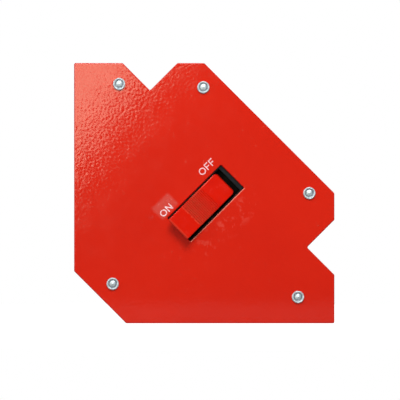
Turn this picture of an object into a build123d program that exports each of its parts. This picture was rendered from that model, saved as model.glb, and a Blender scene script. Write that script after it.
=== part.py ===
from build123d import *
import os
from math import cos, radians, sin, sqrt, tan

# Switchable welding magnet holder: two painted steel pole plates riveted over a moulded core that
# holds fixed edge magnets and a sliding magnet pack, thrown on and off by a rocker lever.
#
# Everything is drawn lying on its back: X runs along the base edge, Y up the upright edge and Z out
# of the front plate, with Z = 0 midway between the plates. The last step stands the holder on its
# base edge, so that its front looks along -Y. All sizes are in millimetres and degrees.

# ---- Driving dimensions: outline ----
square_size = 110.0            # each working edge, measured from the virtual right-angle corner
corner_cut = 22.0              # legs of the cut that keeps the right-angle corner clear of the weld
bevel_start = 55.0             # height on the far side at which the 45 degree edge begins
notch_place = 32.1             # centre of each V notch along its side
notch_depth = 11.6             # each notch is a right-angled V, so it is twice as wide as deep
bevel_round = 1.4              # corner radius at the ends of the 45 degree edge
corner_round = 0.7             # radius of every other corner of the outline
plate_thickness = 2.5
core_depth = 18.0              # clear gap between the two plates
core_recess = 0.6              # how far the core stays behind the edges of the plates
plate_edge_round = 0.4         # softened edge round the outer face of each plate

# ---- Driving dimensions: rivets ----
rivet_radius = 2.0
rivet_clearance = 0.05
rivet_head_radius = 2.63
rivet_head_height = 0.8
rivet_rim_width = 0.42         # sloped rim round the head, out to its edge
rivet_rim_height = 0.44        # of the head's edge, under the rim
rivet_groove_width = 0.55      # inner flank of the rim, down into the spun groove
rivet_groove_height = 0.28     # bottom of the groove above the plate
rivet_cone_width = 0.5         # flank from the groove up to the cone in the middle
rivet_cone_height = 0.48
rivet_nib_radius = 0.25        # point that the spinning tool leaves in the middle
rivet_nib_taper = 0.05
rivet_nib_height = 0.6         # foot of the point above the plate
rivet_tail_radius = 3.1
rivet_tail_height = 0.8
rivet_tail_edge = 0.24         # straight edge of the tail, before it domes
rivet_crown_radius = 1.92      # of the tail's flatter crown
rivet_crown_height = 0.69
sleeve_wall = 1.9
upper_rivet_drop = 8.9         # below the top edge
upper_rivet_place = 19.05      # from the upright edge
bevel_rivet_place = 54.6       # upper bevel rivet, from the upright edge
bevel_rivet_drop = 10.3        # upper bevel rivet, below the top edge
side_rivet_inset = 10.6        # lower bevel rivet, from the far side
side_rivet_height = 55.0
foot_rivet_inset = 15.4        # foot rivet, from the far side
foot_rivet_height = 11.1
corner_rivet_place = (16.3, 16.7)

# ---- Driving dimensions: switch ----
switch_place = (55.6, 50.8)    # middle of the switch slot, from the virtual corner
slot_length = 32.0             # along the diagonal
slot_width = 13.8
slot_round = 0.5
throw = 12.0                   # rocker swing from OFF (as drawn) to ON
pivot_place = -2.3             # pivot along the slot, from the slot's middle
pivot_depth = 5.0              # pivot below the face of the front plate
pin_radius = 1.5
running_clearance = 0.05       # radial, in every moving fit
rocker_side_gap = 0.65         # rocker to the housing's collar, if it stood midway
rocker_shift = 0.38            # rocker off the middle of the slot, towards the lettering
pivot_pad_radius = 2.6         # pads on the housing's walls that hold the rocker sideways
pad_gap = 0.1                  # rocker to each pad
tab_clear = 0.2026             # underside of the ON tab above the plate, when ON
tab_overhang = 0.5             # the tab reaches this far past the end of the slot, when OFF
tab_thickness = 1.7
tab_tip_round = 0.8
tab_length = 8.3               # flat of the ON tab, up to the thumb rest
rest_length = 11.3             # ribbed thumb rest
rest_end_height = 1.75         # height of the thumb rest's lower end above the plate, when OFF
rest_hollow = 0.35             # how deep the thumb rest is dished
heel_fall = 19.5               # slope of the OFF end, in degrees, when OFF
toe_gap = 0.2                  # skirt to the housing's collar, at the ON end
heel_gap = 2.1                 # skirt to the housing's collar, at the OFF end
skirt_depth = 6.5              # lower edge of the rocker's skirt below the plate's face
rocker_wall = 1.8
heel_round = 1.2               # corners of the OFF end, seen from the front
rocker_edge_round = 0.35
rib_pitch = 0.8
rib_groove_radius = 0.22
housing_wall = 1.6
housing_depth = 9.0            # from the inner face of the front plate to the cup's underside
housing_floor = 1.2
housing_margin = 0.1           # collar to slot, all round
rim_side = 0.4                 # width of the collar along the slot
rim_toe = 0.5                  # width of the collar at the ON end
rim_heel = 1.6                 # width of the collar at the OFF end
rim_sink = 0.9                 # top of the collar below the plate's face
flange_reach = 3.0             # flange beyond the slot, all round
flange_thickness = 1.5
gasket_thickness = 0.5
stop_gap = 0.1                 # rocker to its stops, at each end of the swing
stop_length = 2.0
arm_gap = 0.6                  # drive arm to the opening in the housing's floor

# ---- Driving dimensions: magnet slide ----
arm_thickness = 4.0
arm_eye_radius = 2.2
peg_radius = 1.25
peg_back_margin = 2.6          # centre of the drive peg from the rear plate
peg_floor = 0.15               # peg to the bottom of the fork's slot
fork_thickness = 2.0
fork_half_length = 4.0
fork_top_drop = 0.9            # fork plates below the top of the carriage's bridge
arm_side_gap = 0.3             # drive arm to the fork plate on each side
slide_gap = 0.3                # carriage to core and plates, where it isn't guided
pole_bar_height = 3.9
pole_bar_gap = 0.3
pole_count = 3                 # pole bars in a row
glide_thickness = 0.3
glide_gap = 0.1
pack_clear = 2.6               # inner side of each magnet pack from the switch housing's flange
pack_width = 11.5
pack_wall = 1.7
rod_radius = 1.5
rod_hold = 5.5                 # length of each guide rod held by the core, at either end
rod_wall = 1.4
bridge_half_length = 6.5
bridge_gap = 0.6               # carriage bridge below the switch housing

# ---- Driving dimensions: edge magnets ----
edge_magnet_length = 50.0
edge_magnet_width = 10.0
edge_magnet_place = 55.0       # middle of the magnet along its edge
edge_magnet_inset = 4.0        # magnet behind its edge
bevel_magnet_length = 34.0
pocket_gap = 0.1               # round each magnet, sleeve and moulding in the core

# ---- Worked out from the above ----
half_depth = core_depth / 2 + plate_thickness
inner_face = -plate_thickness
back_face = inner_face - core_depth
middle_face = inner_face - core_depth / 2
notch_floor = square_size - notch_depth
tab_swing = slot_length / 2 + tab_overhang + pivot_place     # tip of the tab from the pivot
tab_turned = pivot_depth + tab_clear + tab_swing * sin(radians(throw))
tab_foot = tab_turned / cos(radians(throw)) - pivot_depth    # underside of the raised tip, when OFF
tab_rise = tab_foot + tab_thickness * cos(radians(throw))    # top of the raised tip, when OFF
depth_shift = (tab_rise - rivet_tail_height) / 2
slot_angle = 45.0

pivot = Vector(pivot_place, -pivot_depth)
half_throw = radians(throw / 2)
arm_length = -back_face - peg_back_margin - pivot_depth
peg_place = pivot - Vector(arm_length * sin(half_throw), arm_length * cos(half_throw))
slide_travel = 2 * arm_length * sin(half_throw)
magnet_pitch = slide_travel
magnet_count = 2 * pole_count + 1

collar_half_length = slot_length / 2 - housing_margin
collar_half_width = slot_width / 2 - housing_margin
well_toe = -collar_half_length + rim_toe
well_heel = collar_half_length - rim_heel
well_half_width = collar_half_width - rim_side
rocker_width = 2 * (well_half_width - rocker_side_gap)
toe_reach = pivot_place - well_toe - toe_gap       # skirt radius about the pivot, at the ON end
heel_reach = well_heel - pivot_place - heel_gap    # the same at the OFF end
flange_half_length = slot_length / 2 + flange_reach
flange_half_width = slot_width / 2 + flange_reach
flange_top = inner_face - gasket_thickness
flange_base = flange_top - flange_thickness
cup_base = inner_face - housing_depth
cup_floor = cup_base + housing_floor
cup_half_length = -well_toe + housing_wall
cup_half_width = well_half_width + housing_wall

pack_start = flange_half_width + pack_clear
pack_length = magnet_count * magnet_pitch
pack_height = core_depth - 2 * (pole_bar_height + glide_gap + glide_thickness)
frame_half_length = pack_length / 2 + pack_wall
frame_start = pack_start - pack_wall
rod_place = pack_start + pack_width + rod_wall + rod_radius
frame_end = rod_place + rod_radius + rod_wall
run_half_length = frame_half_length + slide_travel / 2 + slide_gap
bridge_run = bridge_half_length + slide_travel / 2 + slide_gap
bridge_top = cup_base - bridge_gap
bridge_base = back_face + slide_gap
fork_half_gap = arm_thickness / 2 + arm_side_gap
fork_end = fork_half_gap + fork_thickness

sleeve_radius = rivet_radius + rivet_clearance + sleeve_wall
rivet_places = [
    (upper_rivet_place, square_size - upper_rivet_drop),
    (bevel_rivet_place, square_size - bevel_rivet_drop),
    (square_size - side_rivet_inset, side_rivet_height),
    (square_size - foot_rivet_inset, foot_rivet_height),
    corner_rivet_place,
]

# Places measured from the virtual corner, and places measured from the middle of the switch slot,
# with X along the slot towards OFF, Y across it and Z out of the face of the front plate.
from_corner = Pos(-square_size / 2, 0, 0)
at_switch = from_corner * Pos(*switch_place, half_depth) * Rot(0, 0, slot_angle)
bevel_distance = (square_size + bevel_start - sum(switch_place)) / sqrt(2)
diagonal_offset = (switch_place[0] - switch_place[1]) / sqrt(2)
stand_up = Pos(0, depth_shift, 0) * Plane.XZ.location


def span(x, y, z):
    """A block between two values of X, of Y and of Z."""
    middle = Pos((x[0] + x[1]) / 2, (y[0] + y[1]) / 2, (z[0] + z[1]) / 2)
    return middle * Box(x[1] - x[0], y[1] - y[0], z[1] - z[0])


def slab(half_length, half_width, low, high, centre=0.0):
    """A block on the slot's centre line, between two heights."""
    return span((centre - half_length, centre + half_length), (-half_width, half_width), (low, high))


def both_sides(block):
    """A block and its mirror image across the slot's centre line."""
    return [block, mirror(block, Plane.XZ)]


def across(face, width):
    """A face drawn in the slot's length and height, made into a bar across the slot."""
    return extrude(Plane.XZ * face, width / 2, both=True)


def outline():
    """The holder's outline in the plane of the plates."""
    low, high = notch_place - notch_depth, notch_place + notch_depth
    corners = [
        (corner_cut, 0),
        (square_size, 0),
        (square_size, low),
        (notch_floor, notch_place),
        (square_size, high),
        (square_size, bevel_start),
        (bevel_start, square_size),
        (high, square_size),
        (notch_place, notch_floor),
        (low, square_size),
        (0, square_size),
        (0, corner_cut),
    ]
    face = make_face(Polyline(*corners, close=True))
    at_bevel = square_size + bevel_start
    bevel_ends = face.vertices().filter_by(lambda v: abs(v.X + v.Y - at_bevel) < 0.01)
    others = face.vertices().filter_by(lambda v: abs(v.X + v.Y - at_bevel) > 0.01)
    face = fillet(others, corner_round)
    bevel_ends = face.vertices().filter_by(lambda v: abs(v.X + v.Y - at_bevel) < 0.01)
    return from_corner * fillet(bevel_ends, bevel_round)


def on_rivets(make):
    """One piece from make() at every rivet."""
    return [from_corner * Pos(x, y) * make() for x, y in rivet_places]


# ---- Pole plates ----
def plate_blank():
    """A cut plate with its rivet holes and its outer rim softened, outer face on top."""
    plate = Pos(0, 0, half_depth - plate_thickness) * extrude(outline(), plate_thickness)
    rim = plate.faces().sort_by(Axis.Z)[-1].outer_wire().edges()
    plate = fillet(rim, plate_edge_round)
    return plate - on_rivets(lambda: Cylinder(rivet_radius + rivet_clearance, 3 * half_depth))


def front_plate():
    """The plate with the switch slot, its lip softened like the rim."""
    slot = extrude(RectangleRounded(slot_length, slot_width, slot_round), 2 * plate_thickness, both=True)
    plate = plate_blank() - at_switch * slot
    lip = plate.faces().filter_by(Axis.Z).sort_by(Axis.Z)[-1].inner_wires().sort_by(SortBy.LENGTH)[-1]
    return [fillet(lip.edges(), plate_edge_round)]


def rear_plate():
    """The plain plate, a mirror image of the front one without the slot."""
    return [mirror(plate_blank(), Plane.XY)]


# ---- Rivets and their spacer sleeves ----
def rivet():
    """Shank, spun front head with its rim, groove and centre point, and a low domed tail."""
    rim_crest = rivet_head_radius - rivet_rim_width
    groove = rim_crest - rivet_groove_width
    cone = groove - rivet_cone_width
    head = half_depth
    tail = -half_depth
    section = Polyline(
        (0, tail - rivet_tail_height),
        (rivet_crown_radius, tail - rivet_crown_height),
        (rivet_tail_radius, tail - rivet_tail_edge),
        (rivet_tail_radius, tail),
        (rivet_radius, tail),
        (rivet_radius, head),
        (rivet_head_radius, head),
        (rivet_head_radius, head + rivet_rim_height),
        (rim_crest, head + rivet_head_height),
        (groove, head + rivet_groove_height),
        (cone, head + rivet_cone_height),
        (rivet_nib_radius, head + rivet_nib_height),
        (rivet_nib_radius - rivet_nib_taper, head + rivet_head_height),
        (0, head + rivet_head_height),
        close=True,
    )
    return revolve(Plane.XZ * make_face(section), Axis.Z)


def sleeve():
    """Steel spacer tube between the plates."""
    return Cylinder(sleeve_radius, core_depth) - Cylinder(rivet_radius + rivet_clearance, 2 * core_depth)


# ---- Rocker ----
def rocker_line():
    """Corners of the rocker's upper line, from under the tab's tip to beyond the heel."""
    fall = radians(throw)
    under_tip = Vector(-slot_length / 2 - tab_overhang, tab_foot)
    tip = under_tip + Vector(tab_thickness * sin(fall), tab_thickness * cos(fall))
    rest_start = tip + Vector(tab_length * cos(fall), -tab_length * sin(fall))
    rest_end = Vector(rest_start.X + rest_length, rest_end_height)
    past_heel = rest_end + Vector(heel_reach, -heel_reach * tan(radians(heel_fall)))
    return under_tip, tip, rest_start, rest_end, past_heel


def rest_arc():
    """The dished thumb rest, seen from the side."""
    _, _, start, end, _ = rocker_line()
    return ThreePointArc(start, (start + end) / 2 - Vector(0, rest_hollow), end)


def under_rocker_line(drop):
    """Everything under the rocker's upper line, which is let down by drop."""
    _, tip, rest_start, rest_end, past_heel = rocker_line()
    low = -3 * skirt_depth
    sides = Polyline((past_heel.X, past_heel.Y), (past_heel.X, low), (tip.X, low), (tip.X, tip.Y))
    border = Line(tip, rest_start) + rest_arc() + Line(rest_end, past_heel) + sides
    return Pos(0, -drop) * make_face(border.edges())


def swing_sectors(shrink):
    """Half a disc on each side of the pivot, as large as the skirt may reach."""
    toe, heel = toe_reach - shrink, heel_reach - shrink
    toe_half = Circle(toe) & Pos(-toe / 2, 0) * Rectangle(toe, 2 * toe)
    heel_half = Circle(heel) & Pos(heel / 2, 0) * Rectangle(heel, 2 * heel)
    return Pos(pivot.X, pivot.Y) * (toe_half + heel_half)


def rocker_body():
    """Tab and skirt, rounded where a thumb meets them."""
    under_tip, tip, rest_start, rest_end, _ = rocker_line()
    under_rest = rest_start + under_tip - tip
    tab_corners = [(p.X, p.Y) for p in (tip, rest_start, under_rest, under_tip)]
    tab = make_face(Polyline(*tab_corners, close=True))
    tip_ends = tab.vertices().sort_by(Axis.X)[:2]
    tab = fillet(tip_ends, tab_tip_round)
    low = Pos(0, -slot_length - skirt_depth) * Rectangle(4 * slot_length, 2 * slot_length)
    skin = (under_rocker_line(0) & swing_sectors(0)) - low
    body = across(skin + tab, rocker_width)
    heel_end = body.faces().sort_by(Axis.X)[-1]
    heel_corners = [e for e in heel_end.edges() if abs(abs(e.center().Y) - rocker_width / 2) < 0.01]
    body = fillet(heel_corners, heel_round)
    sides = [f for f in body.faces() if abs(abs(f.center().Y) - rocker_width / 2) < 0.01]
    upper_edges = [e for f in sides for e in f.edges() if e.center().Z > 0]
    return fillet(upper_edges, rocker_edge_round)


def rib_grooves():
    """Fine grooves across the thumb rest."""
    arc = rest_arc().edge()
    count = int(arc.length / rib_pitch)
    places = [arc.position_at((i + 0.5) / count) for i in range(count)]
    return [across(Pos(p.X, p.Y) * Circle(rib_groove_radius), 2 * rocker_width) for p in places]


def rocker_lever():
    """Moulded lever: tab, ribbed thumb rest, heel, hollow skirt, pivot boss and drive arm."""
    body = rocker_body() - rib_grooves()
    hollow = under_rocker_line(rocker_wall) & swing_sectors(rocker_wall)
    body -= across(hollow, rocker_width - 2 * rocker_wall)
    at_pivot = Pos(pivot.X, pivot.Y)
    boss = across(at_pivot * Circle(pin_radius + rocker_wall), rocker_width)
    arm_face = Pos(0, -arm_length / 2) * Rectangle(2 * arm_eye_radius, arm_length)
    arm_face += Pos(0, -arm_length) * Circle(arm_eye_radius)
    arm = across(at_pivot * Rot(0, 0, -throw / 2) * arm_face, arm_thickness)
    body = Pos(0, rocker_shift, 0) * (body + boss) + arm
    body -= across(at_pivot * Circle(pin_radius + running_clearance), 2 * rocker_width)
    body -= across(Pos(peg_place.X, peg_place.Y) * Circle(peg_radius), 2 * rocker_width)
    return [at_switch * body]


def drive_peg():
    """Steel peg pressed through the eye of the drive arm."""
    return [at_switch * across(Pos(peg_place.X, peg_place.Y) * Circle(peg_radius), 2 * fork_end - slide_gap)]


# ---- Switch housing ----
def switch_housing():
    """Cup behind the slot: flange, collar in the slot, and the rocker's stops and side pads."""
    collar_face = RectangleRounded(2 * collar_half_length, 2 * collar_half_width, slot_round)
    collar = Pos(0, 0, flange_base) * extrude(collar_face, -rim_sink - flange_base)
    flange = slab(flange_half_length, flange_half_width, flange_base, flange_top)
    cup = slab(cup_half_length, cup_half_width, cup_base, flange_top)
    well = span((well_toe, well_heel), (-well_half_width, well_half_width), (cup_floor, slot_length))
    arm_lean = (cup_base + pivot_depth) * tan(half_throw)
    opening_half = arm_eye_radius / cos(half_throw) + abs(arm_lean) + arm_gap
    opening = slab(opening_half, arm_thickness / 2 + arm_gap, 2 * cup_base, 0, pivot.X)
    body = collar + flange + cup - well

    heel_corner = pivot.X + sqrt(heel_reach**2 - (skirt_depth - pivot_depth) ** 2)
    heel_stop_top = -skirt_depth - stop_gap
    toe_run = sqrt(toe_reach**2 - (skirt_depth - pivot_depth) ** 2)
    swing = radians(throw)
    toe_low = pivot.Y - toe_run * sin(swing) - (skirt_depth - pivot_depth) * cos(swing)
    toe_corner = pivot.X - toe_run * cos(swing)
    stop_half_width = rocker_width / 2
    heel_stop = slab(stop_length / 2, stop_half_width, cup_base, heel_stop_top, heel_corner - 2 * stop_length)
    toe_stop = slab(stop_length / 2, stop_half_width, cup_base, toe_low - stop_gap, toe_corner)
    pads = across(Pos(pivot.X, pivot.Y) * Circle(pivot_pad_radius), 2 * collar_half_width)
    rocker_room = rocker_width / 2 + pad_gap
    between = (rocker_shift - rocker_room, rocker_shift + rocker_room)
    pads -= span((-slot_length, slot_length), between, (2 * cup_base, 0))
    body = body + heel_stop + toe_stop + pads - opening
    body -= across(Pos(pivot.X, pivot.Y) * Circle(pin_radius), 4 * cup_half_width)
    return [at_switch * body]


def switch_gasket():
    """Foam ring that keeps grinding dust out between the flange and the front plate."""
    ring = slab(flange_half_length, flange_half_width, flange_top, inner_face)
    return [at_switch * (ring - slab(slot_length / 2, slot_width / 2, back_face, 0))]


def pivot_pin():
    """Steel pin across the housing, on which the rocker swings."""
    return [at_switch * across(Pos(pivot.X, pivot.Y) * Circle(pin_radius), 2 * cup_half_width)]


# ---- Magnet slide: drawn round the middle of its travel, on one side of the slot's centre line ----
slide_top = middle_face + pack_height / 2
slide_base = middle_face - pack_height / 2
pack_sides = (pack_start, pack_start + pack_width)
at_run = at_switch * Pos(pivot.X, 0, 0)
at_slide = at_run * Pos(-slide_travel / 2, 0, 0)


def rod_bar(radius, half_length):
    """A round bar where a guide rod lies."""
    return Pos(0, rod_place, middle_face) * Rot(0, 90, 0) * Cylinder(radius, 2 * half_length)


def carriage_frame():
    """Moulded carriage: two magnet frames joined by a bridge behind the switch housing."""
    frame = slab(frame_half_length, frame_end, slide_base, slide_top)
    frame -= slab(2 * frame_half_length, frame_start, back_face, 0)
    bridge = slab(bridge_half_length, frame_start, bridge_base, bridge_top)
    pack = span((-pack_length / 2, pack_length / 2), pack_sides, (back_face, 0))
    bores = both_sides(rod_bar(rod_radius + running_clearance, slot_length))
    window = slab(fork_half_length, fork_end, 2 * back_face, 0)
    return [at_slide * (frame + bridge - both_sides(pack) - bores - window)]


def magnet_pack(side):
    """One pack of blocks, side by side with their poles turned over in turn."""
    starts = [(i - magnet_count / 2) * magnet_pitch for i in range(magnet_count)]
    blocks = [span((at, at + magnet_pitch), pack_sides, (slide_base, slide_top)) for at in starts]
    return [at_slide * both_sides(block)[side] for block in blocks]


def glide_sheets():
    """Brass sheets over both faces of both packs, which rub on the pole bars."""
    faces = [(slide_top, slide_top + glide_thickness), (slide_base - glide_thickness, slide_base)]
    sheets = [
        span((-frame_half_length, frame_half_length), (frame_start, pack_sides[1] + pack_wall), face)
        for face in faces
    ]
    return [at_slide * piece for sheet in sheets for piece in both_sides(sheet)]


def fork_plates():
    """Two slotted steel plates in the bridge, one on each side of the drive arm."""
    top = bridge_top - fork_top_drop
    slot_base = back_face + peg_back_margin - peg_radius - peg_floor
    plate = span((-fork_half_length, fork_half_length), (fork_half_gap, fork_end), (bridge_base, top))
    slot_half = peg_radius + running_clearance
    plate -= span((-slot_half, slot_half), (0, 2 * fork_end), (slot_base, 0))
    return [at_slide * piece for piece in both_sides(plate)]


def guide_rods():
    """Two steel rods, held by their ends between the core halves, that carry the carriage."""
    return [at_run * piece for piece in both_sides(rod_bar(rod_radius, run_half_length + rod_hold))]


def pole_bars(low, high, gap=0.0):
    """Steel bars that carry flux from the packs to one plate, or their windows in the core."""
    half = (magnet_pitch - pole_bar_gap) / 2 + gap
    side = (pack_sides[0] - gap, pack_sides[1] + gap)
    places = [(2 * i + 1.5 - pole_count) * magnet_pitch for i in range(pole_count)]
    bars = [span((at - half, at + half), side, (low, high)) for at in places]
    return [at_run * piece for bar in bars for piece in both_sides(bar)]


def front_pole_bars():
    return pole_bars(inner_face - pole_bar_height, inner_face)


def rear_pole_bars():
    return pole_bars(back_face, back_face + pole_bar_height)


# ---- Edge magnets: blocks through the core, between the two plates ----
def edge_block(x, y, gap=0.0):
    """A magnet block, or its pocket when it is grown by a gap."""
    x = (x[0] - gap, x[1] + gap)
    y = (y[0] - gap, y[1] + gap)
    return span(x, y, (-core_depth / 2 - 2 * gap, core_depth / 2 + 2 * gap))


def base_edge_block(gap=0.0):
    """Behind the base edge."""
    half = edge_magnet_length / 2
    along = (edge_magnet_place - half, edge_magnet_place + half)
    return from_corner * edge_block(along, (edge_magnet_inset, edge_magnet_inset + edge_magnet_width), gap)


def upright_edge_block(gap=0.0):
    """Behind the upright edge."""
    half = edge_magnet_length / 2
    along = (edge_magnet_place - half, edge_magnet_place + half)
    return from_corner * edge_block((edge_magnet_inset, edge_magnet_inset + edge_magnet_width), along, gap)


def bevel_edge_block(gap=0.0):
    """Behind the middle of the 45 degree edge."""
    outer = bevel_distance - edge_magnet_inset
    across_slot = (diagonal_offset - bevel_magnet_length / 2, diagonal_offset + bevel_magnet_length / 2)
    block = edge_block((outer - edge_magnet_width, outer), across_slot, gap)
    return at_switch * Pos(0, 0, -half_depth) * block


# ---- Core: two moulded halves that meet midway between the plates ----
def core_half(low, high):
    """One half of the core, with the holes and pockets that both halves share."""
    face = offset(outline(), -core_recess, kind=Kind.INTERSECTION)
    half = Pos(0, 0, low) * extrude(face, high - low)
    half -= on_rivets(lambda: Cylinder(sleeve_radius + pocket_gap, 2 * core_depth))
    half -= [block(pocket_gap) for block in (base_edge_block, upright_edge_block, bevel_edge_block)]
    run_top = slide_top + glide_thickness + glide_gap
    run_base = slide_base - glide_thickness - glide_gap
    half -= at_run * slab(run_half_length, frame_end + slide_gap, run_base, run_top)
    half -= [at_run * rod for rod in both_sides(rod_bar(rod_radius, run_half_length + rod_hold))]
    return half - pole_bars(2 * back_face, 0, pocket_gap)


def core_front_half():
    """The half behind the front plate, with the seat of the switch housing."""
    half = core_half(0, core_depth / 2)
    cup = slab(cup_half_length + pocket_gap, cup_half_width + pocket_gap, 2 * cup_base, 0)
    seat = slab(flange_half_length + pocket_gap, flange_half_width + pocket_gap, flange_base, 0)
    return [half - at_switch * cup - at_switch * seat]


def core_rear_half():
    """The half on the rear plate, with the run of the carriage's bridge."""
    half = core_half(-core_depth / 2, 0)
    return [half - at_run * slab(bridge_run, frame_start + slide_gap, 2 * back_face, 0)]


PARTS = {
    "front_plate": front_plate,
    "rear_plate": rear_plate,
    "plate_rivets": lambda: on_rivets(rivet),
    "rivet_sleeves": lambda: on_rivets(sleeve),
    "core_front_half": core_front_half,
    "core_rear_half": core_rear_half,
    "base_edge_magnet": lambda: [base_edge_block()],
    "upright_edge_magnet": lambda: [upright_edge_block()],
    "bevel_edge_magnet": lambda: [bevel_edge_block()],
    "front_pole_bars": front_pole_bars,
    "rear_pole_bars": rear_pole_bars,
    "guide_rods": guide_rods,
    "switch_housing": switch_housing,
    "switch_gasket": switch_gasket,
    "pivot_pin": pivot_pin,
    "rocker_lever": rocker_lever,
    "drive_peg": drive_peg,
    "carriage_frame": carriage_frame,
    "fork_plates": fork_plates,
    "upper_slide_magnets": lambda: magnet_pack(0),
    "lower_slide_magnets": lambda: magnet_pack(1),
    "glide_sheets": glide_sheets,
}

os.makedirs("parts", exist_ok=True)
for name, make in PARTS.items():
    pieces = [stand_up * piece for piece in make()]
    shape = pieces[0] if len(pieces) == 1 else Compound(children=pieces)
    export_step(shape, f"parts/{name}.step")

# Places that the holder's record repeats, in its own upright frame.
hinge = (stand_up * at_switch * Pos(pivot.X, 0, pivot.Y)).position
print(f"rocker pivot {hinge.X:.3f} {hinge.Y:.3f} {hinge.Z:.3f} mm, swing 0 to {throw} degrees")
print(f"slide travel {slide_travel:.4f} mm, {slide_travel / radians(throw):.4f} mm a radian")
print(f"front face at Y {depth_shift - half_depth:.2f}, rear face at Y {depth_shift + half_depth:.2f}")
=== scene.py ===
from math import cos, pi, radians, sin, sqrt

import bmesh
import bpy
from mathutils import Matrix, Vector


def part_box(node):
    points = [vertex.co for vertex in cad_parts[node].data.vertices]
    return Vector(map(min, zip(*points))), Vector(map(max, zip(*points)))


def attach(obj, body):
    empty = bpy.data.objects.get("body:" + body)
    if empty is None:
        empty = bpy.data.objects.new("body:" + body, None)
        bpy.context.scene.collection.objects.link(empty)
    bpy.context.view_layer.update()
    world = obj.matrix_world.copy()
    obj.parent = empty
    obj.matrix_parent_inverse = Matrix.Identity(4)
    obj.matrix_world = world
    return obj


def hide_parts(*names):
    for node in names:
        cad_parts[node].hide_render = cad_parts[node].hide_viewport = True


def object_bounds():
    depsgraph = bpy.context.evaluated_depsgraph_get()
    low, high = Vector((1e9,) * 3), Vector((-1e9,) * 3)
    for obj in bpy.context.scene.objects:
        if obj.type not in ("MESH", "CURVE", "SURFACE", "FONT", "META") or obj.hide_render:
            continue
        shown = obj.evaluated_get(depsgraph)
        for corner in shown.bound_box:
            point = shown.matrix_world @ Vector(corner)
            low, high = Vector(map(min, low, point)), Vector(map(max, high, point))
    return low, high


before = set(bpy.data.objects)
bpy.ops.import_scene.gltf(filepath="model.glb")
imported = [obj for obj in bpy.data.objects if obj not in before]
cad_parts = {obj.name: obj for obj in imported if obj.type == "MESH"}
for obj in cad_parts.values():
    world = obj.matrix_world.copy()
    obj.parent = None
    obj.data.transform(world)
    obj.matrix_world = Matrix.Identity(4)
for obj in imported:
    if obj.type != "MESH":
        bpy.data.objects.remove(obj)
cad_low, cad_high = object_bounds()

# ---- Rear pole plate ----
# The back pole of the holder: 2.5 mm laser-cut steel, sprayed with a thick glossy red enamel that
# dries in a hammered skin and flows round the cut edges. The rivets clamp it to the core.
mm = 0.001
enamel_red = (0.64, 0.0140, 0.0024, 1)
enamel_thin = (0.58, 0.0105, 0.0015, 1)     # where the coat runs thin
enamel_edge_shade = (0.50, 0.0050, 0.0010, 1)     # painted shade: a darker, duller red round the cut edges
coat_size = 34 * mm                         # slow changes of the coat's thickness
hammer_size, hammer_height = 1.15 * mm, 0.017 * mm
ripple_size, ripple_height = 11 * mm, 0.018 * mm
grit_size, grit_height = 0.9 * mm, 0.02 * mm
grit_levels = (0.74, 0.80)                  # noise levels where grit starts and is full
sheen_size, sheen_levels = 6 * mm, (0.35, 0.75)
sheen_rough = (0.07, 0.10)                  # roughness of the glossiest and the dullest enamel
edge_levels = (0.985, 0.86)                 # squareness to Y where an edge's rounding starts and ends
thin_share, edge_shade_share = 0.5, 0.8           # how far the colour goes to that of a thin coat, and to the painted edge shade
face_gloss, edge_gloss = 0.50, 0.12
usual = (0.30, 0.70)                        # most noise lies between these levels


def start_finish(name):
    """A new finish: the material, its node tree and its shader."""
    finish = bpy.data.materials.new(name)
    finish.use_nodes = True
    return finish, finish.node_tree, finish.node_tree.nodes["Principled BSDF"]


def add_node(tree, kind, sockets, **traits):
    """A node whose sockets are given values or the outputs of other nodes."""
    made = tree.nodes.new("ShaderNode" + kind)
    for trait, value in traits.items():
        setattr(made, trait, value)
    for socket, value in sockets.items():
        if isinstance(value, bpy.types.NodeSocket):
            tree.links.new(value, made.inputs[socket])
        else:
            made.inputs[socket].default_value = value
    return made


def sums(tree, operation, *values):
    """The result of a sum done on values or on the outputs of other nodes."""
    return add_node(tree, "Math", dict(enumerate(values)), operation=operation).outputs[0]


def scaled(tree, place, factors):
    """A place stretched or squeezed along each axis."""
    return add_node(tree, "VectorMath", {0: place, 1: factors}, operation="MULTIPLY").outputs[0]


def noise(tree, place, size, detail=2.0, offset=0.0):
    """Cloudy noise with features of that size, in metres."""
    if offset:
        moved = add_node(tree, "VectorMath", {0: place, 1: (offset,) * 3}, operation="ADD")
        place = moved.outputs[0]
    sockets = {"Vector": place, "Scale": 1 / size, "Detail": detail}
    return add_node(tree, "TexNoise", sockets).outputs["Fac"]


def level(tree, value, low, high, start=0.0, end=1.0):
    """A value brought from low..high to start..end, with a soft step at both ends."""
    sockets = {"Value": value, "From Min": low, "From Max": high, "To Min": start, "To Max": end}
    return add_node(tree, "MapRange", sockets, interpolation_type="SMOOTHSTEP").outputs["Result"]


def times(tree, first, second):
    return sums(tree, "MULTIPLY", first, second)


def two_colours(tree, share, first, second):
    """From the first colour to the second, as share goes from 0 to 1."""
    return add_node(tree, "Mix", {0: share, 6: first, 7: second}, data_type="RGBA").outputs[2]


def relief(tree, height, depth, under=None):
    """Bumps of that depth in metres, on top of other bumps."""
    sockets = {"Height": height, "Distance": depth, "Strength": 1.0}
    if under is not None:
        sockets["Normal"] = under
    return add_node(tree, "Bump", sockets).outputs["Normal"]


def facing_y(tree):
    """How the surface faces along Y: -1 to the front, 1 to the back."""
    outward = add_node(tree, "NewGeometry", {}).outputs["Normal"]
    return add_node(tree, "SeparateXYZ", {0: outward}).outputs["Y"]


def set_look(tree, shader, **looks):
    """Links outputs to the shader's sockets, which are named with _ for each space."""
    for socket, value in looks.items():
        tree.links.new(value, shader.inputs[socket.replace("_", " ")])


def wear(node_name, finish):
    """Gives a piece of the frame its finish."""
    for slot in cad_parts[node_name].material_slots:
        slot.material = finish


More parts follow.
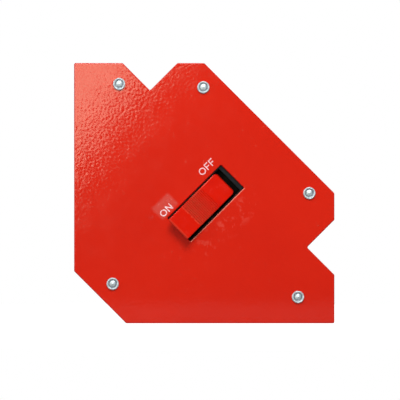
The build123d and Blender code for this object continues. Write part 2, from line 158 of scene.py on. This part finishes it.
def hammered_enamel(name):
    """Red enamel: slow changes of thickness, dimpled skin, grit caught in the coat, and painted shade
    round the edges.
    """
    finish, tree, shader = start_finish(name)
    place = add_node(tree, "TexCoord", {}).outputs["Object"]
    thin = level(tree, noise(tree, place, coat_size, detail=3.0), *usual)
    colour = two_colours(tree, times(tree, thin, thin_share), enamel_red, enamel_thin)
    ripple = noise(tree, place, ripple_size, detail=1.0, offset=3.0)
    dimples = noise(tree, place, hammer_size, detail=0.4)
    grit = level(tree, noise(tree, place, grit_size, detail=1.0, offset=7.0), *grit_levels)
    normal = relief(tree, ripple, ripple_height)
    normal = relief(tree, dimples, hammer_height, normal)
    normal = relief(tree, grit, grit_height, normal)
    sheen = noise(tree, place, sheen_size, detail=4.0, offset=5.0)
    matt = level(tree, sheen, *sheen_levels, *sheen_rough)
    on_edge = level(tree, sums(tree, "ABSOLUTE", facing_y(tree)), *edge_levels)
    # painted shade: the red darkens over the rounded and cut edges
    colour = two_colours(tree, times(tree, on_edge, edge_shade_share), colour, enamel_edge_shade)
    gloss = level(tree, on_edge, 0.0, 1.0, face_gloss, edge_gloss)
    set_look(tree, shader, Base_Color=colour, Roughness=matt, Specular_IOR_Level=gloss, Normal=normal)
    return finish, tree, shader, place, colour, matt


wear("rear_plate", hammered_enamel("rear_enamel")[0])

# ---- Core ----
# Two black nylon mouldings that fill the gap between the plates and hold every other part. They
# meet midway, and stay 0.6 mm behind the plates' edges, so that only steel touches the work.
core_black = (0.022, 0.023, 0.025, 1)
core_grey = (0.050, 0.051, 0.054, 1)
dust_size, dust_levels = 9 * mm, (0.42, 0.78)
grain_height = 0.02 * mm
sink_size, sink_height = 14 * mm, 0.08 * mm     # shallow sink marks over the ribs
wiped_size, wiped_less, wiped_more = 3 * mm, 0.06, 0.08     # patches of less and more roughness


def moulding(name, dark, pale, grain, matt):
    """Moulded plastic: spark-eroded grain, sink marks and a little dust."""
    finish, tree, shader = start_finish(name)
    place = add_node(tree, "TexCoord", {}).outputs["Object"]
    dust = level(tree, noise(tree, place, dust_size, detail=5.0), *dust_levels)
    colour = two_colours(tree, dust, dark, pale)
    skin = relief(tree, noise(tree, place, grain), grain_height)
    sinks = noise(tree, place, sink_size, detail=1.0, offset=2.0)
    skin = relief(tree, sinks, sink_height, skin)
    wiped = noise(tree, place, wiped_size, detail=3.0, offset=4.0)
    rough = level(tree, wiped, *usual, matt - wiped_less, matt + wiped_more)
    set_look(tree, shader, Base_Color=colour, Roughness=rough, Normal=skin)
    return finish, tree, shader, place, colour, rough


core_finish = moulding("core_nylon", core_black, core_grey, 0.35 * mm, 0.52)[0]
for half in ("core_front_half", "core_rear_half"):
    wear(half, core_finish)

# ---- Fixed edge magnets ----
# Three sintered ferrite blocks, ground to thickness, pushed into pockets of the core behind the
# base edge, the upright edge and the 45 degree edge.
ferrite_dark = (0.050, 0.050, 0.054, 1)
ferrite_pale = (0.105, 0.103, 0.105, 1)
line_size, line_height = 0.12 * mm, 0.008 * mm      # scratches of the grinding wheel
line_stretch = (0.06, 1.0, 0.06)
line_less, line_more = 0.07, 0.10                   # less and more roughness along the lines
mottle_size = 2.5 * mm


def ground_block(name, dark, pale, metal, matt):
    """A hard piece ground all over: fine lines along its sides, and a mottled body."""
    finish, tree, shader = start_finish(name)
    place = add_node(tree, "TexCoord", {}).outputs["Object"]
    lines = noise(tree, scaled(tree, place, line_stretch), line_size)
    mottle = level(tree, noise(tree, place, mottle_size, detail=4.0), *usual)
    colour = two_colours(tree, mottle, dark, pale)
    rough = level(tree, lines, *usual, matt - line_less, matt + line_more)
    skin = relief(tree, lines, line_height)
    set_look(tree, shader, Base_Color=colour, Roughness=rough, Normal=skin)
    shader.inputs["Metallic"].default_value = metal
    return finish


ferrite = ground_block("sintered_ferrite", ferrite_dark, ferrite_pale, 0.0, 0.58)
for edge in ("base_edge", "upright_edge", "bevel_edge"):
    wear(edge + "_magnet", ferrite)

# ---- Spacer sleeves ----
# Zinc-plated steel tubes round the rivets. They take the clamping load, so that the rivets don't
# crush the core.
zinc_pale = (0.68, 0.77, 0.82, 1)
zinc_dull = (0.42, 0.50, 0.55, 1)
wear("rivet_sleeves", ground_block("sleeve_zinc", zinc_dull, zinc_pale, 1.0, 0.34))

# ---- Pole bars, guide rods, pins and fork plates ----
# Ground steel: bars that lead the flux from the sliding magnets to each plate, two rods pressed
# between the core halves, the rocker's pivot pin, the peg in its drive arm, and the two slotted
# plates on the carriage that the peg pushes.
steel_pale = (0.66, 0.66, 0.67, 1)
steel_dull = (0.44, 0.44, 0.46, 1)
steel_nodes = ("front_pole_bars", "rear_pole_bars", "guide_rods", "pivot_pin", "drive_peg", "fork_plates")
bright_steel = ground_block("ground_steel", steel_dull, steel_pale, 1.0, 0.28)
for name in steel_nodes:
    wear(name, bright_steel)

# ---- Magnet carriage ----
# One natural-white acetal moulding: two frames for the magnet packs, joined by a bridge behind the
# switch. It slides on the guide rods and follows the rocker's peg.
acetal_white = (0.78, 0.77, 0.72, 1)
acetal_shade = (0.66, 0.65, 0.60, 1)
acetal, _, shader, *_ = moulding("carriage_acetal", acetal_white, acetal_shade, 0.5 * mm, 0.36)
shader.inputs["Subsurface Weight"].default_value = 0.15
shader.inputs["Subsurface Radius"].default_value = (1.0 * mm, 0.9 * mm, 0.7 * mm)
wear("carriage_frame", acetal)

# ---- Sliding magnets and glide sheets ----
# Two packs of seven nickel-plated blocks, poles turned over in turn, glued into the carriage. Thin
# rolled brass over both faces of each pack keeps the plating off the pole bars.
nickel_pale = (0.78, 0.75, 0.70, 1)
nickel_dull = (0.62, 0.59, 0.54, 1)
brass_pale = (0.76, 0.56, 0.26, 1)
brass_dull = (0.58, 0.38, 0.14, 1)
nickel = ground_block("nickel_plate", nickel_dull, nickel_pale, 1.0, 0.16)
wear("upper_slide_magnets", nickel)
wear("lower_slide_magnets", nickel)
wear("glide_sheets", ground_block("rolled_brass", brass_dull, brass_pale, 1.0, 0.26))

# ---- Switch housing and its gasket ----
# A black moulded cup clamped behind the slot by its flange, with a collar that stands in the slot
# round the rocker. A ring of closed-cell foam under the flange keeps grinding dust out.
# black plastic, taken darker than any plastic as painted shade for the deep recess
housing_shade_black = (0.0015, 0.0016, 0.002, 1)
collar_highlight_grey = (0.008, 0.012, 0.016, 1)     # painted highlight on the collar's top
collar_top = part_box("switch_housing")[0].y
collar_levels = (collar_top + 0.45 * mm, collar_top + 0.05 * mm)
speck_size, least_collar_highlight = 1.5 * mm, 0.5
low_gloss = 0.14                            # of plastic that handling has dulled
made = moulding("housing_plastic", housing_shade_black, housing_shade_black, 0.25 * mm, 0.46)
housing, tree, shader, place, *_ = made
depth = add_node(tree, "SeparateXYZ", {0: place}).outputs["Y"]
collar = level(tree, depth, *collar_levels)
specks = level(tree, noise(tree, place, speck_size, detail=5.0, offset=3.0), *usual, least_collar_highlight)
# painted highlight: the collar's top turns grey, in specks, by depth
colour = two_colours(tree, times(tree, collar, specks), housing_shade_black, collar_highlight_grey)
set_look(tree, shader, Base_Color=colour)
shader.inputs["Specular IOR Level"].default_value = low_gloss
wear("switch_housing", housing)
wear("switch_gasket", moulding("gasket_foam", core_black, core_grey, 0.6 * mm, 0.85)[0])

# ---- Rocker lever ----
# A glossy red moulding on the pivot pin. The ON tab stands proud of the plate when the holder is
# off; behind it the dished thumb rest has fine ribs that have gone dull and taken up dust.
across = sqrt(0.5)
toward_off = Vector((across, 0, across))
toward_text = Vector((-across, 0, across))
gasket_low, gasket_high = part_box("switch_gasket")
slot_middle = (gasket_low + gasket_high) / 2
slot_centre = Vector((slot_middle.x, 0, slot_middle.z))
rocker_red = (0.61, 0.0085, 0.0012, 1)
rocker_deep = (0.53, 0.0055, 0.0010, 1)
rest_dust = (0.44, 0.026, 0.007, 1)
# painted highlight: a pale red for the lever's rounded edges where they catch the light
lever_edge_highlight = (0.80, 0.13, 0.07, 1)
front_levels = (-0.75, -0.92)           # squareness to the front where the upper face starts
rest_start, rest_end = -8.1 * mm, 3.2 * mm
rest_lines = (rest_start - 0.15 * mm, rest_start + 0.15 * mm)
rest_fade = (rest_end + 0.8 * mm, rest_start + 4.0 * mm)
rest_matt = 0.36                        # roughness that the dust adds
grime_size, grime_levels, least_grime = 1.6 * mm, (0.30, 0.72), 0.45
highlight_patch_size, highlight_patch_levels = 1.2 * mm, (0.35, 0.6)
ridge_highlight_share, tip_highlight_share, side_highlight_share = 0.35, 0.16, 0.40       # how strong each painted edge highlight is
# Bands, each with its start, its end and how soft its edges are.
ridge_highlight_run = (rest_start - 0.35 * mm, rest_start - 0.05 * mm, 0.12 * mm)
tip_highlight_run = (-17.5 * mm, -15.3 * mm, 0.2 * mm)        # painted highlight on the rounded end of the tab
side_highlight_run = (-3 * mm, 10 * mm, 1.5 * mm)
side_highlight_rise = (5.65 * mm, 6.20 * mm, 0.12 * mm)       # painted highlight on the rounded side edge, beside the lettering


def along_slot(tree, place, direction):
    """How far a point lies from the slot's middle in that direction, in metres."""
    sockets = {0: place, 1: tuple(direction)}
    reach = add_node(tree, "VectorMath", sockets, operation="DOT_PRODUCT").outputs["Value"]
    return sums(tree, "SUBTRACT", reach, slot_centre.dot(direction))


def band(tree, value, low, high, soft):
    """1 between low and high, falling to 0 over a soft edge."""
    risen = level(tree, value, low - soft, low + soft)
    return times(tree, risen, level(tree, value, high + soft, high - soft))


def patch(tree, run, run_band, rise, rise_band):
    """1 inside a rectangle that lies along the slot, falling to 0 over soft edges."""
    return times(tree, band(tree, run, *run_band), band(tree, rise, *rise_band))


made = moulding("lever_plastic", rocker_red, rocker_deep, 0.4 * mm, 0.20)
lever, tree, shader, place, colour, rough = made
run = along_slot(tree, place, toward_off)
rise = along_slot(tree, place, toward_text)
upper = level(tree, facing_y(tree), *front_levels)
ribbed = times(tree, level(tree, run, *rest_lines), level(tree, run, *rest_fade))
rest = times(tree, ribbed, upper)
grime = level(tree, noise(tree, place, grime_size, detail=4.0, offset=9.0), *grime_levels, least_grime)
patchy = level(tree, noise(tree, place, highlight_patch_size, detail=3.0, offset=6.0), *highlight_patch_levels)
ridge_highlight = times(tree, band(tree, run, *ridge_highlight_run), patchy)
side_highlight = times(tree, patch(tree, run, side_highlight_run, rise, side_highlight_rise), upper)
colour = two_colours(tree, times(tree, rest, grime), colour, rest_dust)
# painted highlights: the ridge before the thumb rest, the tab's end and the side edge turn paler
for mark, share in ((ridge_highlight, ridge_highlight_share), (band(tree, run, *tip_highlight_run), tip_highlight_share), (side_highlight, side_highlight_share)):
    colour = two_colours(tree, times(tree, mark, share), colour, lever_edge_highlight)
rough = sums(tree, "MULTIPLY_ADD", rest, rest_matt, rough)
set_look(tree, shader, Base_Color=colour, Roughness=rough)
shader.inputs["Specular IOR Level"].default_value = low_gloss
wear("rocker_lever", lever)

# ---- Front pole plate ----
# The same steel and enamel as the rear plate, cut with the diagonal switch slot. The paint round ON
# is hazed where labels were rubbed off, and faintly scuffed beside the slot.
haze_pink = (0.50, 0.062, 0.060, 1)
scuff_pale = (0.80, 0.16, 0.12, 1)
lip_highlight = (0.95, 0.42, 0.32, 1)            # painted highlight along the rolled lip of the slot
slot_half_length, slot_half_width = 16.0 * mm, 6.9 * mm
haze_size, least_haze, haze_share = 1.6 * mm, 0.55, 0.44
haze_matt = 0.45                            # roughness that the haze adds
blotch_size, blotch_levels = 3.0 * mm, (0.54, 0.70)
streak_size, streak_levels = 0.7 * mm, (0.66, 0.74)
streak_stretch = (1.0, 1.0, 0.22)
lip_highlight_share, blotch_share, smear_share, streak_share = 0.36, 0.26, 0.45, 0.30
haze_run = (-17.8 * mm, -8.4 * mm, 0.8 * mm)
haze_rise = (8.0 * mm, 14.4 * mm, 0.8 * mm)
smear_run = (-21 * mm, -17.5 * mm, 1.2 * mm)
smear_rise = (9.5 * mm, 15 * mm, 1.2 * mm)
scuffed_run = (-17 * mm, 16 * mm, 5 * mm)
scuffed_rise = (-17 * mm, -9 * mm, 3 * mm)
lip_highlight_run = (-slot_half_length, slot_half_length, 0.5 * mm)
lip_highlight_rise = (-slot_half_width - 0.42 * mm, -slot_half_width - 0.02 * mm, 0.08 * mm)
enamel, tree, shader, place, colour, matt = hammered_enamel("front_enamel")
run = along_slot(tree, place, toward_off)
rise = along_slot(tree, place, toward_text)
uneven = level(tree, noise(tree, place, haze_size, detail=4.0, offset=11.0), *usual, least_haze)
haze = times(tree, patch(tree, run, haze_run, rise, haze_rise), uneven)
haze = times(tree, haze, haze_share)
streaks = noise(tree, scaled(tree, place, streak_stretch), streak_size, offset=13.0)
streaks = level(tree, streaks, *streak_levels)
blotch = level(tree, noise(tree, place, blotch_size, detail=3.0, offset=17.0), *blotch_levels)
scuffed = patch(tree, run, scuffed_run, rise, scuffed_rise)
smear = times(tree, blotch, patch(tree, run, smear_run, rise, smear_rise))
marks = [  # share of the mark, its colour
    # painted highlight along the slot's lower lip
    (times(tree, patch(tree, run, lip_highlight_run, rise, lip_highlight_rise), lip_highlight_share), lip_highlight),
    (haze, haze_pink),
    (times(tree, times(tree, blotch, scuffed), blotch_share), scuff_pale),
    (times(tree, smear, smear_share), haze_pink),
    (times(tree, times(tree, streaks, scuffed), streak_share), scuff_pale),
]
for share, paint in marks:
    colour = two_colours(tree, share, colour, paint)
matt = sums(tree, "MULTIPLY_ADD", haze, haze_matt, matt)
set_look(tree, shader, Base_Color=colour, Roughness=matt)
wear("front_plate", enamel)

# ---- Rivets ----
# Five bright zinc-plated steel rivets through plates, sleeves and core. A spinning tool forms each
# head into a raised rim, a ring groove and a shallow cone with a point; the tails are low domes.
shank_radius = 2.0 * mm
head_section = [  # radius and height over the plate, in mm, from the point outward
    (0.0, 0.80), (0.12, 0.80), (0.20, 0.76), (0.25, 0.63), (0.34, 0.595), (0.70, 0.545), (1.05, 0.49),
    (1.24, 0.42), (1.40, 0.31), (1.55, 0.28), (1.70, 0.31), (1.86, 0.46), (2.00, 0.68), (2.12, 0.775),
    (2.24, 0.80), (2.38, 0.76), (2.52, 0.62), (2.60, 0.46), (2.63, 0.30), (2.63, 0.0),
]
tail_section = [  # the same for the tail, from the plate to its top
    (3.10, 0.0), (3.10, 0.22), (3.03, 0.34), (2.80, 0.45), (2.40, 0.58), (1.92, 0.68), (1.1, 0.76),
    (0.0, 0.80),
]
groove_shade_grey = (0.16, 0.19, 0.22, 1)
groove_band = (1.30 * mm, 1.80 * mm, 0.12 * mm)
groove_shade_share = 0.75
rim_band = (1.98 * mm, 2.44 * mm, 0.12 * mm)
rim_pale_reflection = 0.6                                     # painted reflection: how far the rim loses its metal look and shows its pale colour
tarnish_size, tarnish_levels, tarnish_rough = 1.3 * mm, (0.35, 0.75), (0.52, 0.64)
turning_pitch, turning_height = 0.11 * mm, 0.02 * mm
weld_gap = 0.001 * mm
turning_steps = 72
smooth_angle = radians(40)


def turned(name, section, steps=turning_steps):
    """A piece turned about Y from its section, a list of radius and place along Y in metres."""
    mesh = bmesh.new()
    rings = []
    for radius, y in section:
        if radius == 0:
            rings.append([mesh.verts.new((0, y, 0))])
        else:
            angles = [2 * pi * i / steps for i in range(steps)]
            rings.append([mesh.verts.new((radius * cos(a), y, radius * sin(a))) for a in angles])
    for inner, outer in zip(rings, rings[1:]):
        for i in range(steps):
            j = (i + 1) % steps
            corners = [inner[i % len(inner)], inner[j % len(inner)]]
            corners += [outer[j % len(outer)], outer[i % len(outer)]]
            mesh.faces.new(list(dict.fromkeys(corners)))
    bmesh.ops.recalc_face_normals(mesh, faces=mesh.faces)
    return as_piece(name, mesh)


def as_piece(name, mesh):
    """A finished mesh as an object of the scene, smooth except at its sharp edges."""
    data = bpy.data.meshes.new(name)
    mesh.to_mesh(data)
    mesh.free()
    data.shade_smooth()
    data.set_sharp_from_angle(angle=smooth_angle)
    piece = bpy.data.objects.new(name, data)
    bpy.context.scene.collection.objects.link(piece)
    return piece


def centres_of(node_name):
    """The middle of each separate solid of a node, seen from the front."""
    mesh = bmesh.new()
    mesh.from_mesh(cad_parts[node_name].data)
    bmesh.ops.remove_doubles(mesh, verts=mesh.verts, dist=weld_gap)
    left = set(mesh.verts)
    found = []
    while left:
        group = set()
        queue = [left.pop()]
        while queue:
            vertex = queue.pop()
            group.add(vertex)
            for edge in vertex.link_edges:
                other = edge.other_vert(vertex)
                if other in left:
                    left.discard(other)
                    queue.append(other)
        xs = [vertex.co.x for vertex in group]
        zs = [vertex.co.z for vertex in group]
        found.append(((min(xs) + max(xs)) / 2, (min(zs) + max(zs)) / 2))
    mesh.free()
    return sorted(found)


rivet_zinc, tree, shader = start_finish("rivet_zinc")
place = add_node(tree, "TexCoord", {}).outputs["Object"]
flat = scaled(tree, place, (1, 0, 1))
radius = add_node(tree, "VectorMath", {0: flat}, operation="LENGTH").outputs["Value"]
sockets = {"W": radius, "Scale": 1 / turning_pitch, "Detail": 1.0}
turning = add_node(tree, "TexNoise", sockets, noise_dimensions="1D").outputs["Fac"]
tarnish = level(tree, noise(tree, place, tarnish_size, detail=4.0), *tarnish_levels)
colour = two_colours(tree, tarnish, zinc_pale, zinc_dull)
# painted shade: the ring groove is darkened to grey
groove_shade = times(tree, band(tree, radius, *groove_band), groove_shade_share)
colour = two_colours(tree, groove_shade, colour, groove_shade_grey)
rough = level(tree, tarnish, 0.0, 1.0, *tarnish_rough)
# painted reflection: the rim shows its pale zinc colour as a part-metal surface
bare = sums(tree, "MULTIPLY_ADD", band(tree, radius, *rim_band), -rim_pale_reflection, 1.0)
skin = relief(tree, turning, turning_height)
set_look(tree, shader, Base_Color=colour, Roughness=rough, Metallic=bare, Normal=skin)

front_limit, rear_limit = (corner.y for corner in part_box("plate_rivets"))
head_base = front_limit + head_section[0][1] * mm
tail_base = rear_limit - tail_section[-1][1] * mm
section = [(r * mm, head_base - h * mm) for r, h in head_section]
section += [(shank_radius, head_base), (shank_radius, tail_base)]
section += [(r * mm, tail_base + h * mm) for r, h in tail_section]
for number, (x, z) in enumerate(centres_of("plate_rivets"), start=1):
    rivet = turned(f"rivet_{number}", section)
    rivet.data.materials.append(rivet_zinc)
    rivet.location = (x, 0, z)
    bpy.context.view_layer.update()
    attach(rivet, "holder")
    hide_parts("plate_rivets")

# ---- ON and OFF ----
# Plain capitals pad-printed in white ink beside the two ends of the switch slot, reading along it.
# The ink is a thin film that has rubbed off a little, and more at OFF.
front_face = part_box("front_plate")[0].y
ink_white = (0.86, 0.70, 0.76, 1)
ink_rubbed = (0.76, 0.33, 0.36, 1)
ink_height = 0.02 * mm
stroke = 0.47 * mm
letter_gap = 0.52 * mm
letter_width = {"O": 1.02, "N": 0.86, "F": 0.66}    # shares of the capital's height
o_steps = 56
n_joint = 1.45 * stroke         # length of the joint between a stem and the diagonal of N
f_arm_height = 0.47             # share of the stem under the middle arm of F
f_arm_length = 0.88             # middle arm of F over its top arm
ink_wear_size, ink_wear_levels = 1.1 * mm, (0.46, 0.70)
off_levels = (-2 * mm, 6 * mm)  # where the ink begins to be rubbed more, along the slot
off_wear = 0.5
words = {  # start along the slot, baseline from the slot's centre line, capital height
    "ON": (-17.0 * mm, 8.2 * mm, 2.9 * mm),
    "OFF": (7.0 * mm, 9.0 * mm, 3.0 * mm),
}


def straight_outline(letter, width, height):
    """Corners of a capital N or F."""
    t = stroke
    if letter == "N":
        return [(0, 0), (t, 0), (t, height - n_joint), (width - t, 0), (width, 0), (width, height),
                (width - t, height), (width - t, n_joint), (t, height), (0, height)]
    low = (height - t) * f_arm_height
    high = low + t
    arm = f_arm_length * width
    return [(0, 0), (t, 0), (t, low), (arm, low), (arm, high), (t, high), (t, height - t),
            (width, height - t), (width, height), (0, height)]


def add_wall(mesh, first, second):
    """A closed strip of faces between two loops of corners."""
    for i in range(len(first)):
        j = (i + 1) % len(first)
        mesh.faces.new([first[i], first[j], second[j], second[i]])


def add_letter(mesh, letter, start, height):
    """One capital standing on the baseline, as a thin film. Returns its width."""
    width = letter_width[letter] * height
    if letter != "O":
        corners = straight_outline(letter, width, height)
        lower = [mesh.verts.new((start + x, y, 0)) for x, y in corners]
        upper = [mesh.verts.new((start + x, y, ink_height)) for x, y in corners]
        mesh.faces.new(lower)
        mesh.faces.new(upper)
        add_wall(mesh, lower, upper)
        return width
    middle = Vector((start + width / 2, height / 2, 0))
    turn = [2 * pi * i / o_steps for i in range(o_steps)]
    loops = []
    for inset, rise in ((0, 0), (stroke, 0), (stroke, ink_height), (0, ink_height)):
        a = width / 2 - inset
        b = height / 2 - inset
        corners = [middle + Vector((a * cos(u), b * sin(u), rise)) for u in turn]
        loops.append([mesh.verts.new(corner) for corner in corners])
    for first, second in zip(loops, loops[1:] + loops[:1]):
        add_wall(mesh, first, second)
    return width


ink, tree, shader, place, *_ = moulding("white_ink", ink_white, ink_rubbed, 0.5 * mm, 0.45)
patchy = noise(tree, place, ink_wear_size, detail=4.0, offset=8.0)
patchy = level(tree, patchy, *ink_wear_levels)
by_off = level(tree, along_slot(tree, place, toward_off), *off_levels, end=off_wear)
patchy = sums(tree, "MAXIMUM", patchy, by_off)
set_look(tree, shader, Base_Color=two_colours(tree, patchy, ink_white, ink_rubbed))
turn = Matrix((toward_off, toward_text, Vector((0, -1, 0)))).transposed().to_4x4()
for word, (start, baseline, height) in words.items():
    mesh = bmesh.new()
    reach = 0.0
    for letter in word:
        reach += add_letter(mesh, letter, reach, height) + letter_gap
    corner = slot_centre + toward_off * start + toward_text * baseline + Vector((0, front_face, 0))
    bmesh.ops.transform(mesh, matrix=Matrix.Translation(corner) @ turn, verts=mesh.verts)
    bmesh.ops.recalc_face_normals(mesh, faces=mesh.faces)
    print_piece = as_piece(f"print_{word.lower()}", mesh)
    print_piece.data.materials.append(ink)
    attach(print_piece, "holder")

# ---- Studio ----
# A pale floor and a plain background, bright to the camera but a weak light on the holder. Soft
# panels stand in front, beside and behind, and a long leaning window shines in the enamel's corner.
pure_white = (1, 1, 1, 1)
floor_grey = (0.30, 0.30, 0.30, 1)
floor_radius = 0.22
floor_gap = 0.05 * mm
floor_glow, floor_rough = 0.92, 0.9
fill_strength, seen_strength = 0.14, 1.0
window_warm = (1.0, 0.92, 0.68)
window_edge = Vector((-0.077, -1.27, 0.129))        # middle of its lower edge
window_lean = radians(50)
window_length, window_depth, window_power = 0.60, 0.30, 2.9
camera_distance = 1.2
camera_side, camera_height = -1.8 * mm, 52.1 * mm
view_width = 0.169

floor_mesh = bmesh.new()
bmesh.ops.create_circle(floor_mesh, cap_ends=True, segments=96, radius=floor_radius)
floor = as_piece("studio_floor", floor_mesh)
floor.location = (0, 0, -floor_gap)
white, tree, shader = start_finish("studio_white")
shader.inputs["Base Color"].default_value = floor_grey
shader.inputs["Roughness"].default_value = floor_rough
shader.inputs["Emission Color"].default_value = pure_white
seen = add_node(tree, "LightPath", {}).outputs["Is Camera Ray"]
set_look(tree, shader, Emission_Strength=times(tree, seen, floor_glow))
floor.data.materials.append(white)

studio = bpy.data.worlds.new("studio")
bpy.context.scene.world = studio
studio.use_nodes = True
tree = studio.node_tree
tree.nodes.clear()
fill = add_node(tree, "Background", {"Color": pure_white, "Strength": fill_strength})
backdrop = add_node(tree, "Background", {"Color": pure_white, "Strength": seen_strength})
seen = add_node(tree, "LightPath", {}).outputs["Is Camera Ray"]
mixed = add_node(tree, "MixShader", {0: seen, 1: fill.outputs[0], 2: backdrop.outputs[0]})
tree.links.new(mixed.outputs[0], tree.nodes.new("ShaderNodeOutputWorld").inputs["Surface"])


def panel(name, place, target, width, height, power, roll=0.0):
    """A soft rectangular light aimed at a point."""
    data = bpy.data.lights.new(name, "AREA")
    data.shape = "RECTANGLE"
    data.size = width
    data.size_y = height
    data.energy = power
    lamp = bpy.data.objects.new(name, data)
    bpy.context.scene.collection.objects.link(lamp)
    aim = (Vector(target) - Vector(place)).to_track_quat("-Z", "Y").to_matrix().to_4x4()
    lamp.matrix_world = Matrix.Translation(place) @ aim @ Matrix.Rotation(roll, 4, "Z")
    return lamp


middle = (cad_low + cad_high) / 2
panels = {  # place, width, height, watts
    "key_panel": (middle + Vector((0.02, -0.45, 0.44)), 0.28, 0.28, 3.62),
    "left_panel": ((-0.75, -0.30, 0.30), 0.4, 0.6, 2.2),
    "right_panel": ((0.75, -0.20, 0.25), 0.4, 0.6, 0.8),
    "back_panel": ((0.20, 0.80, 0.45), 0.6, 0.4, 2.5),
}
for name, (place, width, height, watts) in panels.items():
    panel(name, place, middle, width, height, watts)
window_out = Vector((-sin(window_lean), 0, cos(window_lean)))
window_place = window_edge + window_out * window_depth / 2
ahead = window_place + Vector((0, 1, 0))
window = panel("window", window_place, ahead, window_length, window_depth, window_power, window_lean)
window.data.color = window_warm

camera_data = bpy.data.cameras.new("camera")
camera_data.lens = camera_distance * camera_data.sensor_width / view_width
camera = bpy.data.objects.new("camera", camera_data)
bpy.context.scene.collection.objects.link(camera)
camera.location = (camera_side, front_face - camera_distance, camera_height)
camera.rotation_euler = (radians(90), 0, 0)
bpy.context.scene.camera = camera
bpy.context.scene.view_settings.view_transform = "Standard"
